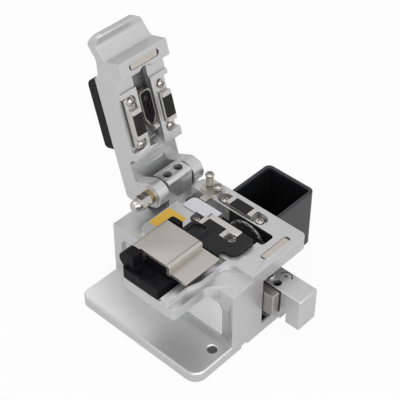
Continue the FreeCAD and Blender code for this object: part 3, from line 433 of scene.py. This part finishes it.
binPlastic = finish("binPlastic", (0.020, 0.020, 0.023), roughness=0.34, roughVary=0.04, fine=4000, bump=0.12,
                    edgeColour=(0.05, 0.05, 0.05), edgeGain=3)
padRubber = finish("padRubber", (0.016, 0.0155, 0.016), roughness=0.7, specular=0.2, roughVary=0.06,
                   fine=5000, bump=0.3, edgeColour=(0.07, 0.07, 0.07), edgeGain=3)
bladeSteel = finish("bladeSteel", (0.20, 0.20, 0.205), metallic=0.9, roughness=0.28, brushed=(1, 0.2, 0.2), bump=0.1,
                    edgeColour=(0.7, 0.7, 0.7), edgeGain=6)
magnetMetal = finish("magnetMetal", (0.60, 0.555, 0.51), metallic=0.9, roughness=0.3, brushed=(0.03, 1, 1), bump=0.12)
springWire = finish("springWire", (0.55, 0.50, 0.44), metallic=1.0, roughness=0.22, bump=0.05)
bracketMetal = finish("polishedBracket", (0.66, 0.66, 0.66), metallic=0.8, roughness=0.24, roughVary=0.05, bump=0.05,
                      edgeColour=(0.85, 0.85, 0.84), edgeGain=5)
labelFilm = finish("labelFilm", (0.80, 0.80, 0.80), metallic=0.15, roughness=0.4, roughVary=0.03, fine=6000, bump=0.05)
plateFilm = finish("plateFilm", (0.58, 0.58, 0.62), metallic=0.1, roughness=0.4, roughVary=0.03, fine=6000, bump=0.05)
# dark metal colour that paints shade in the lid's channel and under the foot's screw hole
paintedShadeMetal = finish("paintedShadeMetal", (0.24, 0.24, 0.245), metallic=0.8, roughness=0.35, bump=0.1)
leverSteel = finish("leverSteel", (0.36, 0.33, 0.30), metallic=0.85, roughness=0.35, bump=0.08)
gibSteel = finish("gibSteel", (0.40, 0.38, 0.355), metallic=0.85, roughness=0.33, roughVary=0.05,
                  brushed=(1.0, 1.0, 0.05), brushScale=4000, bump=0.10, edgeColour=(0.82, 0.80, 0.76), edgeGain=8)
yellowFilm = finish("yellowFilm", (0.60, 0.37, 0.05), roughness=0.5, specular=0.3, fine=5000, bump=0.08)
print("finishes made")

finishOfSlot = {
    "cast_body": castAluminium, "lid_frame": lidAluminium, "label": labelFilm, "sticker": yellowFilm,
    "rubber": padRubber, "black_plastic": blackPlastic, "black_cover": coverPlastic, "bin_plastic": binPlastic,
    "magnet": magnetMetal, "steel": groundSteel, "warm_steel": warmSteel, "screw_steel": brightSteel,
    "blackened": bluedSteel, "brass": brassMetal, "slider_alu": castAluminium, "blade_steel": bladeSteel,
    "spring_steel": springWire, "bracket_metal": bracketMetal,
}
slotOfNode = {part["node"]: part["material_slot"] for part in frame["record"]["subparts"]}
finishOfNode = {name: finishOfSlot[slotOfNode[name]] for name in nodes}
finishOfNode.update({"slide_bar": gibSteel, "break_lever": leverSteel, "holder_base": holderPlastic,
                     "flap_insert": holderPlastic, "lever_insert": holderPlastic})
for nodeName, node in nodes.items():
    node.data.materials.clear()
    node.data.materials.append(finishOfNode[nodeName])


def dress(piece, slotName, body=None, replaced=()):
    if not piece.data.materials:
        piece.data.materials.append(finishOfSlot[slotName])
    if body:
        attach(piece, body)
    if replaced:
        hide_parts(*replaced)
    return piece


# machined and moulded pieces whose edges catch the light

brokenEdges = {
    "body": 0.15, "lid": 0.15, "lid_cover": 0.5, "waste_bin": 0.35, "holder_base": 0.3, "holder_flap": 0.15,
    "adaptor_plate": 0.2, "slider_block": 0.16, "slide_bar": 0.16, "hinge_bracket": 0.16, "lower_left_clamp": 0.12,
    "lower_right_clamp": 0.12, "upper_left_clamp": 0.12, "upper_right_clamp": 0.12, "blade_arm": 0.2,
    "flap_insert": 0.2, "break_lever": 0.15, "pawl_plate": 0.12, "label_plate": 0.15,
}
for nodeName, width in brokenEdges.items():
    piece = softEdges(nodeName, width, edgeFinish)
    piece.data.materials.clear()
    piece.data.materials.append(finishOfNode[nodeName])
    dress(piece, slotOfNode[nodeName])
print("edges broken on", len(brokenEdges), "pieces")


# pan head screws with a cross recess

panScrew = {"domeRows": 16, "sides": 96, "rimShare": 0.35, "armHalf": 0.18, "armReach": 0.7, "depth": 0.62,
            "sideFlank": 0.07, "endFlank": 0.12, "rimTuck": 0.97, "rimRise": 0.06}


def screwProfile(name, axes, settings):
    # sizes of the CAD screw along its axis, then a turned profile with the same shank, collar and head
    local = nodePoints(name) @ axes.T
    middle = (local.min(0) + local.max(0)) / 2
    radius = np.hypot(local[:, 0] - middle[0], local[:, 1] - middle[1])
    height = local[:, 2]
    headR, low, top = radius.max(), height.min(), height.max()
    seat = height[radius > 0.98 * headR].min()
    shankR = radius[height < low + 1e-5].max()
    collar = (radius > 1.2 * shankR) & (radius < 0.98 * headR) & (height < seat - 1e-5)
    collarR = radius[collar].max() if collar.any() else shankR
    collarLow = height[collar].min() if collar.any() else seat
    rimTop = seat + settings["rimShare"] * (top - seat)
    # dome: a quarter ellipse from the rim to the axis
    swing = np.linspace(0, math.pi / 2, settings["domeRows"] + 1)
    domeR, domeZ = headR * np.cos(swing), rimTop + (top - rimTop) * np.sin(swing)
    radii = np.concatenate([[0, shankR, shankR, collarR, collarR, headR * settings["rimTuck"], headR], domeR])
    heights = np.concatenate([[low, low, collarLow, collarLow, seat, seat, seat + settings["rimRise"] * mm], domeZ])
    centre = np.array([middle[0], middle[1], 0]) @ axes
    return radii, heights, centre, headR, rimTop


def makePanScrew(name, direction, settings):
    axes = axisFrame(direction)
    radii, heights, centre, headR, rimTop = screwProfile(name, axes, settings)
    points, faces = turned(radii, heights, centre, direction, settings["sides"])
    # the dome sinks where a point lies in one of two crossed arms, with steep smooth flanks
    local = (points - centre) @ axes.T / headR
    flat = np.abs(local[:, :2])
    short, far = flat.min(1), flat.max(1)
    inArm = np.clip((settings["armHalf"] - short) / settings["sideFlank"] + 0.5, 0, 1)
    inReach = np.clip((settings["armReach"] - far) / settings["endFlank"] + 0.5, 0, 1)
    onDome = local[:, 2] * headR > rimTop
    sink = settings["depth"] * headR * inArm * inReach * (1 - 0.5 * far) * onDome
    points = points - sink[:, None] * axes[2]
    piece = meshFrom(name + "_turned", points, faces, 35)
    return dress(piece, slotOfNode[name], nodes[name]["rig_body"], [name])


screwNames = {(0, 0, 1): ["lower_screw_%d" % i for i in range(1, 5)] + ["pawl_screw_1", "pawl_screw_2", "lock_screw"],
              tuple(outOfLid): ["upper_screw_%d" % i for i in range(1, 5)] + ["lever_screw"]}
for direction, names in screwNames.items():
    for nodeName in names:
        makePanScrew(nodeName, direction, panScrew)
print("screws made")


# engraved turning mark on the slider: a cross inside an arc with an arrow head

engraving = {"right": 7.0, "back": 12.65, "arm": 0.85, "line": 0.36, "radius": 2.35, "start": 100, "end": -84,
             "arrow": 1.1, "arrowLong": 22, "lift": 0.012, "sunk": 0.05, "point": 0.02}


def makeEngraving(settings):
    low, high = cornersOf("slider_block")
    centre = low[:2] + np.array([settings["right"], settings["back"]]) * mm
    levels = (high[2] - settings["sunk"] * mm, high[2] + settings["lift"] * mm)
    arm, line = settings["arm"] * mm, settings["line"] * mm
    reach = np.linspace(-arm, arm, 5)[:, None]
    marks = [("engravedBarX", centre + reach * [1, 0], line), ("engravedBarY", centre + reach * [0, 1], line)]
    angle = np.radians(np.linspace(settings["start"], settings["end"], 49))
    arc = centre + settings["radius"] * mm * np.stack([np.cos(angle), np.sin(angle)], axis=-1)
    # the ribbon widens to the arrow head, then closes to its point
    before = np.degrees(angle) - settings["end"]
    width = np.where(before < settings["arrowLong"], settings["arrow"] * mm * before / settings["arrowLong"], line)
    marks.append(("engravedArc", arc, np.maximum(width, settings["point"] * mm)))
    for name, path, width in marks:
        dress(ribbon(name, path, width, *levels), "black_cover", nodes["slider_block"]["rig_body"])


makeEngraving(engraving)


# ribbed grip on the upright front face of the flap

flapGrip = {"lip": 8.0, "below": 2.75, "high": 1.9, "tab": 0.8, "lipRight": 0.3, "inset": 0.25, "ribPitch": 0.5,
            "dotPitch": 0.42, "rise": 0.10, "rim": 0.2, "rows": 33, "columns": 321}


def makeFlapGrip(settings):
    low, high = cornersOf("holder_flap")
    x0 = low[0] + settings["tab"] * mm + settings["inset"] * mm
    x1 = high[0] - (settings["lipRight"] + settings["inset"]) * mm
    origin = [x0, low[1] + settings["lip"] * mm, high[2] - settings["below"] * mm]
    z = np.linspace(0, settings["high"], settings["rows"])[:, None]
    x = np.linspace(0, (x1 - x0) / mm, settings["columns"])[None, :]
    # rounded ribs along the face, each cut into dots by a wave across it
    rib = np.abs(np.sin(math.pi * z / settings["ribPitch"]))
    dots = 0.6 + 0.4 * np.sin(2 * math.pi * x / settings["dotPitch"])
    height = settings["rise"] * mm * rib * dots
    piece = reliefSlab("flapGrip", origin, [x1 - x0, 0, 0], [0, 0, settings["high"] * mm], height,
                       settings["rim"] * mm)
    dress(piece, "warm_steel", nodes["holder_flap"]["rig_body"])


makeFlapGrip(flapGrip)
print("engraving and flap grip made")


# the lid's cross groove filled up to a shallow step on both sides of the channel

grooveFill = {"front": 3.95, "long": 5.8, "under": 0.9, "high": 1.9, "leftWide": 7.95, "rightWide": 9.0,
              "side": 0.05, "round": 0.15}


def makeGrooveFill(settings):
    # front is measured from the magnet's middle back to the fill, heights from the face of the closed lid
    low, high = cornersOf("lid")
    y0 = np.mean(cornersOf("base_magnet"), axis=0)[1] + settings["front"] * mm
    y1 = y0 + settings["long"] * mm
    z0 = lidLand + settings["under"] * mm
    z1 = lidLand + (settings["under"] + settings["high"]) * mm
    side = settings["side"] * mm
    for name, x0, x1 in (("Left", low[0] + side, low[0] + settings["leftWide"] * mm),
                         ("Right", high[0] - settings["rightWide"] * mm, high[0] - side)):
        piece = roundedBlock("grooveFill" + name, (x0, y0, z0), (x1, y1, z1), settings["round"] * mm, onOpenLid)
        dress(piece, "lid_frame", "lid")


makeGrooveFill(grooveFill)


# painted shade in the lid's channel: a thin dark band round its walls and a dark sheet on its floor

channelShade = {"left": 3.90, "wallGap": 0.08, "wide": 7.5, "front": -21.3, "back": 11.9, "low": 2.95,
                 "high": 5.36, "thick": 0.06, "floorStart": 0.4, "floorWide": 1.9}


def makeChannelShade(settings):
    # measured from the left clamp's rubber, the fibre line and the face of the closed lid
    clamp = cornersOf("lower_left_rubber")
    x0 = (clamp[0][0] + clamp[1][0]) / 2 + settings["left"] * mm + settings["wallGap"] * mm
    r = settings["wide"] / 2 * mm
    y0, y1 = fibreY + settings["front"] * mm, fibreY + settings["back"] * mm
    z0, z1 = lidLand + settings["low"] * mm, lidLand + settings["high"] * mm
    swing = np.linspace(math.pi, 2 * math.pi, 33)
    arc = np.array([x0 + r, y0 + r]) + r * np.stack([np.cos(swing), np.sin(swing)], axis=-1)
    path = np.vstack([[[x0, y1]], arc, [[x0 + 2 * r, y1]]])
    thick = settings["thick"] * mm
    middle = [[x0 + r, y0 + settings["floorStart"] * r], [x0 + r, y1]]
    for piece in (ribbon("channelWallShade", path, thick, z0, z1, onOpenLid),
                  ribbon("channelFloorShade", middle, settings["floorWide"] * r, z1 - thick, z1, onOpenLid)):
        piece.data.materials.append(paintedShadeMetal)
        dress(piece, "lid_frame", "lid")


makeChannelShade(channelShade)


# bright plate on the deck beside the blade slot

deckPlate = {"thick": 0.03, "sunk": 0.02, "wide": 6.75, "wheelGap": 1.1, "back": 18.1, "clampBack": 11.5,
             "slotLeft": 2.7, "front": 3.65, "round": 2.6, "tabLeft": 6.05, "tabFront": 6.5}


def makeDeckPlate(settings):
    # places are measured from the wheel's side of the slot and from the fibre line
    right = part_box("blade_wheel")[0].x - settings["wheelGap"] * mm
    left, clampX, tabX = (right - settings[key] * mm for key in ("wide", "slotLeft", "tabLeft"))
    y0, y1, y2, tabY = (fibreY + settings[key] * mm for key in ("front", "clampBack", "back", "tabFront"))
    corners = [(left, y1), (tabX, y1), (tabX, tabY), (clampX, tabY), (clampX, y0), (right, y0), (right, y2),
               (left, y2)]
    radii = [0, 0, 0, 0, 0, 0, settings["round"] * mm, 0]
    piece = film("deckPlate", corners, radii, deckTop - settings["sunk"] * mm, deckTop + settings["thick"] * mm)
    piece.data.materials.append(plateFilm)
    dress(piece, "label", "base")


makeDeckPlate(deckPlate)
print("groove fill and deck plate made")


# painted shade inside the blade slot: a thin black plate on its right, left and front walls

slotShade = {"right": 1.93, "left": 3.93, "front": 19.15, "back": 3.3, "deep": 6.2, "below": 0.5, "thick": 0.12,
              "round": 0.03}


def makeSlotShade(settings):
    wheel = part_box("blade_wheel")
    y0, y1 = fibreY - settings["front"] * mm, fibreY + settings["back"] * mm
    z0, z1 = deckTop - settings["deep"] * mm, deckTop - settings["below"] * mm
    t = settings["thick"] * mm
    left, right = wheel[0].x - settings["left"] * mm, wheel[1].x + settings["right"] * mm
    for side, low, high in (("Right", (right - t, y0, z0), (right, y1, z1)),
                            ("Left", (left, y0, z0), (left + t, y1, z1)),
                            ("Front", (left + t, y0, z0), (right - t, y0 + t, z1))):
        dress(roundedBlock("slotShade" + side, low, high, settings["round"] * mm), "blackened", "base")


makeSlotShade(slotShade)


# painted shade: a black strip in the gap between slide bar and finger block, and a dark sheet on the floor under the
# slide bar

slideGapShade = {"thick": 0.14, "barGap": 0.02, "above": 0.65, "under": 0.2, "front": 0.45, "long": 20.0, "round": 0.05,
             "floorLeft": 0.3, "floorRight": 0.2, "floorLong": 46.0, "floorLift": 0.05, "floorSunk": 0.02}


def makeSlideGapShade(settings):
    low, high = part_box("slide_bar")
    x1, y0 = high.x - settings["barGap"] * mm, low.y - settings["front"] * mm
    strip = roundedBlock("slideGapShade", (x1 - settings["thick"] * mm, y0, low.z - settings["under"] * mm),
                         (x1, y0 + settings["long"] * mm, high.z + settings["above"] * mm), settings["round"] * mm)
    dress(strip, "blackened", nodes["slide_bar"]["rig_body"])
    # the floor starts at the front end of the rail on the foot
    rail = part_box("foot_rail")[0]
    left, right = low.x - settings["floorLeft"] * mm, high.x - settings["floorRight"] * mm
    back = rail.y + settings["floorLong"] * mm
    corners = [(left, rail.y), (right, rail.y), (right, back), (left, back)]
    # dark floor sheet: painted shade under the slide bar
    floorShade = film("slideFloorShade", corners, [0, 0, 0, 0], rail.z - settings["floorSunk"] * mm,
                rail.z + settings["floorLift"] * mm)
    dress(floorShade, "blackened", "base")


makeSlideGapShade(slideGapShade)


# painted shade inside the scrap bin: a thin black band along its back, right and front walls

binShade = {"wall": 1.6, "thick": 0.06, "gap": 0.02, "below": 0.9, "floor": 1.7, "round": 1.3,
             "left": 0.4, "run": 0.1}


def makeBinShade(settings):
    low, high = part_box("waste_bin")
    inset = (settings["wall"] + settings["gap"] + settings["thick"] / 2) * mm
    r = settings["round"] * mm
    x0, x1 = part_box("body")[1].x + settings["left"] * mm, high.x - inset
    y0, y1 = low.y + inset, high.y - inset
    swing = np.linspace(0, math.pi / 2, 9)
    arc = np.stack([np.sin(swing), np.cos(swing)], axis=-1)
    # back wall, rounded corner, right wall, rounded corner, front wall
    backArc = np.array([x1 - r, y1 - r]) + r * arc
    frontArc = np.array([x1 - r, y0 + r]) + r * arc[::-1] * [1, -1]
    bend = x1 - r - settings["run"] * mm
    path = np.vstack([[[x0, y1], [bend, y1]], backArc, frontArc, [[bend, y0], [x0, y0]]])
    piece = ribbon("binShade", path, settings["thick"] * mm, low.z + settings["floor"] * mm,
                   high.z - settings["below"] * mm)
    dress(piece, "black_cover", nodes["waste_bin"]["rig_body"])


makeBinShade(binShade)


# nuts of the hinge shaft with chamfered corners

nutShape = {"chamfer": 0.28, "rows": 6, "sides": 96, "hexLong": 2.6, "neck": 2.5, "neckLong": 1.1, "domeRows": 14,
            "bore": 2.01, "endGap": 0.02}


def makeNut(name, settings):
    low, high = cornersOf(name)
    across = high[2] - low[2]
    bore = settings["bore"] * mm
    # from the right face leftwards: chamfer, flats, chamfer; the radius is also limited by the six flats
    rise = np.linspace(0, 1, settings["rows"])
    flank = across / 2 * (1 + rise * (1 / math.cos(math.pi / 6) - 1))
    inward = settings["chamfer"] * mm * rise
    capped = name == "cap_nut"
    hexLong = settings["hexLong"] * mm if capped else high[0] - low[0]
    radii, heights = np.r_[flank, flank[::-1]], np.r_[inward, hexLong - inward[::-1]]
    if capped:
        neck, base = settings["neck"] * mm, (settings["hexLong"] + settings["neckLong"]) * mm
        swing = np.linspace(0, math.pi / 2, settings["domeRows"])
        radii = np.r_[0, bore, bore, radii, neck, neck * np.cos(swing[:-1]), 0]
        depth = high[0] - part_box("hinge_shaft")[0].x + settings["endGap"] * mm
        heights = np.r_[depth, depth, 0, heights, hexLong, base + neck * np.sin(swing)]
    else:
        radii, heights = np.r_[bore, radii, bore], np.r_[0, heights, hexLong]
    centre = (high[0], (low[1] + high[1]) / 2, (low[2] + high[2]) / 2)
    points, faces = turned(radii, heights, centre, (-1, 0, 0), settings["sides"], across, ring=not capped)
    dress(meshFrom(name + "_turned", points, faces, 25), slotOfNode[name], nodes[name]["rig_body"], [name])


for nodeName in ("hex_nut", "cap_nut"):
    makeNut(nodeName, nutShape)
print("slot inside and nuts made")


# coil springs of the pawl plate

springShape = {"coil": 1.33, "wire": 0.21, "pitch": 0.78, "sides": 10, "perTurn": 36}


def makeSpring(name, settings):
    # round wire along a helix: circle of the wire in the plane of the axis, carried round and up
    low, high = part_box(name)
    wire = settings["wire"] * mm
    rise = high.z - low.z - 2 * wire
    turns = rise / (settings["pitch"] * mm)
    climb = np.linspace(0, 1, int(settings["perTurn"] * turns) + 1)[:, None]
    around = np.linspace(0, 2 * math.pi, settings["sides"], endpoint=False)
    angle = 2 * math.pi * turns * climb
    radius = settings["coil"] * mm + wire * np.cos(around)
    points = np.stack([(low.x + high.x) / 2 + radius * np.cos(angle), (low.y + high.y) / 2 + radius * np.sin(angle),
                       low.z + wire + rise * climb + wire * np.sin(around)], axis=-1).reshape(-1, 3)
    sides = settings["sides"]
    last = points.shape[0] - sides
    ends = np.array([np.arange(sides), last + np.arange(sides)[::-1]])
    piece = meshFrom(name + "_wire", points, [gridFaces(len(climb), sides, closeColumns=True), ends], 60)
    dress(piece, slotOfNode[name], nodes[name]["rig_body"], [name])
    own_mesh(piece)


for nodeName in ("pawl_spring_1", "pawl_spring_2"):
    makeSpring(nodeName, springShape)


# painted shade: a dark disc under the foot's screw hole

footHole = {"right": 14.3, "back": 5.2, "radius": 1.95, "level": 0.75, "thick": 0.06}


def makeFootHoleShade(settings):
    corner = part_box("body")[0]
    r, thick = settings["radius"] * mm, settings["thick"] * mm
    centre = (corner.x + settings["right"] * mm, corner.y + settings["back"] * mm, settings["level"] * mm)
    points, faces = turned([0, r, r, 0], [0, 0, thick, thick], centre, (0, 0, 1))
    piece = meshFrom("footHoleShade", points, faces, 30)
    piece.data.materials.append(paintedShadeMetal)
    dress(piece, "cast_body", "base")


makeFootHoleShade(footHole)
print("springs and foot hole made")


# floor, light and camera

stageSettings = {"floorSize": 3.0, "floorWhite": 0.66, "worldDim": 0.32, "worldBright": 0.95,
                 "brightSide": (-0.55, -0.60, 0.58), "floorGlow": 0.94, "floorRough": 0.9,
                 "floorSpecular": 0.1, "mirroredShare": 0.4}


def backgroundShare(tree, settings):
    # how much of the plain white background a ray sees: the camera's all of it, mirrored rays a part
    ray = addNode(tree, "ShaderNodeLightPath")
    mirrored = addNode(tree, "ShaderNodeMath", {1: settings["mirroredShare"]}, operation="MULTIPLY")
    direct = addNode(tree, "ShaderNodeMath", operation="MAXIMUM")
    share = addNode(tree, "ShaderNodeMath", operation="MAXIMUM")
    tree.links.new(ray.outputs["Is Glossy Ray"], mirrored.inputs[0])
    tree.links.new(ray.outputs["Is Camera Ray"], direct.inputs[0])
    tree.links.new(ray.outputs["Is Transmission Ray"], direct.inputs[1])
    tree.links.new(direct.outputs[0], share.inputs[0])
    tree.links.new(mirrored.outputs[0], share.inputs[1])
    return share.outputs[0]


def makeStage(settings):
    half = settings["floorSize"] / 2
    corners = np.array([[-half, -half, 0], [half, -half, 0], [half, half, 0], [-half, half, 0]], float)
    floor = meshFrom("paleFloor", corners, [np.array([[0, 1, 2, 3]])])
    material = bpy.data.materials.new("paleFloor")
    material.use_nodes = True
    tree = material.node_tree
    shader = tree.nodes["Principled BSDF"]
    white = settings["floorWhite"]
    shader.inputs["Base Color"].default_value = (white, white, white, 1)
    shader.inputs["Roughness"].default_value = settings["floorRough"]
    shader.inputs["Specular IOR Level"].default_value = settings["floorSpecular"]
    glow = addNode(tree, "ShaderNodeEmission", {"Color": (1, 1, 1, 1), "Strength": 1.0})
    mix = addNode(tree, "ShaderNodeMixShader")
    share = addNode(tree, "ShaderNodeMath", {1: settings["floorGlow"]}, operation="MULTIPLY")
    tree.links.new(backgroundShare(tree, settings), share.inputs[0])
    tree.links.new(share.outputs[0], mix.inputs[0])
    tree.links.new(shader.outputs[0], mix.inputs[1])
    tree.links.new(glow.outputs[0], mix.inputs[2])
    tree.links.new(mix.outputs[0], tree.nodes["Material Output"].inputs["Surface"])
    floor.data.materials.append(material)


def makeWorld(settings):
    world = bpy.data.worlds.new("studio")
    bpy.context.scene.world = world
    world.use_nodes = True
    tree = world.node_tree
    soft = tree.nodes["Background"]
    soft.inputs["Color"].default_value = (1, 1, 1, 1)
    # the surroundings brighten evenly from their far side to their bright side
    place = addNode(tree, "ShaderNodeTexCoord")
    dot = addNode(tree, "ShaderNodeVectorMath", {1: settings["brightSide"]}, operation="DOT_PRODUCT")
    level = addNode(tree, "ShaderNodeMapRange", {"From Min": -1.0, "From Max": 1.0, "To Min": settings["worldDim"],
                                                 "To Max": settings["worldBright"]})
    tree.links.new(place.outputs["Generated"], dot.inputs[0])
    tree.links.new(dot.outputs["Value"], level.inputs["Value"])
    tree.links.new(level.outputs[0], soft.inputs["Strength"])
    white = addNode(tree, "ShaderNodeBackground", {"Color": (1, 1, 1, 1), "Strength": 1.0})
    mix = addNode(tree, "ShaderNodeMixShader")
    tree.links.new(backgroundShare(tree, settings), mix.inputs[0])
    tree.links.new(soft.outputs[0], mix.inputs[1])
    tree.links.new(white.outputs[0], mix.inputs[2])
    tree.links.new(mix.outputs[0], tree.nodes["World Output"].inputs["Surface"])


# lamps well outside the object, wide enough that pale metal doesn't clip where it mirrors them
lampTarget = (0, 0, 0.03)
lamps = {
    "keyLamp": {"place": (-0.1, 0.35, 0.75), "size": (0.9, 0.9), "power": 1.9},
    "frontLamp": {"place": (-0.25, -0.75, 0.45), "size": (1.6, 0.98), "power": 5.0},
}


def areaLamp(name, place, size, power):
    lamp = bpy.data.lights.new(name, "AREA")
    lamp.shape = "RECTANGLE"
    lamp.size, lamp.size_y = size
    lamp.energy = power
    holder = bpy.data.objects.new(name, lamp)
    holder.location = place
    holder.rotation_euler = (Vector(lampTarget) - Vector(place)).to_track_quat("-Z", "Y").to_euler()
    bpy.context.scene.collection.objects.link(holder)


cameraSettings = {
    "place": (-0.22365, -0.211675, 0.32805), "azimuth": -47.225, "elevation": 41.736, "roll": 0.136, "lens": 102.41,
    "sensor": 36, "clip": (0.01, 20),
}


def makeCamera(settings):
    camera = bpy.data.cameras.new("photoCamera")
    camera.lens = settings["lens"]
    camera.sensor_width = settings["sensor"]
    camera.clip_start, camera.clip_end = settings["clip"]
    holder = bpy.data.objects.new("photoCamera", camera)
    a, e = math.radians(settings["azimuth"]), math.radians(settings["elevation"])
    back = Vector((math.sin(a) * math.cos(e), -math.cos(a) * math.cos(e), math.sin(e)))
    turn = (-back).to_track_quat("-Z", "Y").to_matrix() @ Matrix.Rotation(math.radians(settings["roll"]), 3, "Z")
    holder.matrix_world = Matrix.Translation(settings["place"]) @ turn.to_4x4()
    bpy.context.scene.collection.objects.link(holder)
    bpy.context.scene.camera = holder


makeStage(stageSettings)
makeWorld(stageSettings)
for lampName, lampSettings in lamps.items():
    areaLamp(lampName, **lampSettings)
makeCamera(cameraSettings)
bpy.context.scene.view_settings.view_transform = "Standard"
print("stage, lamps and camera made")
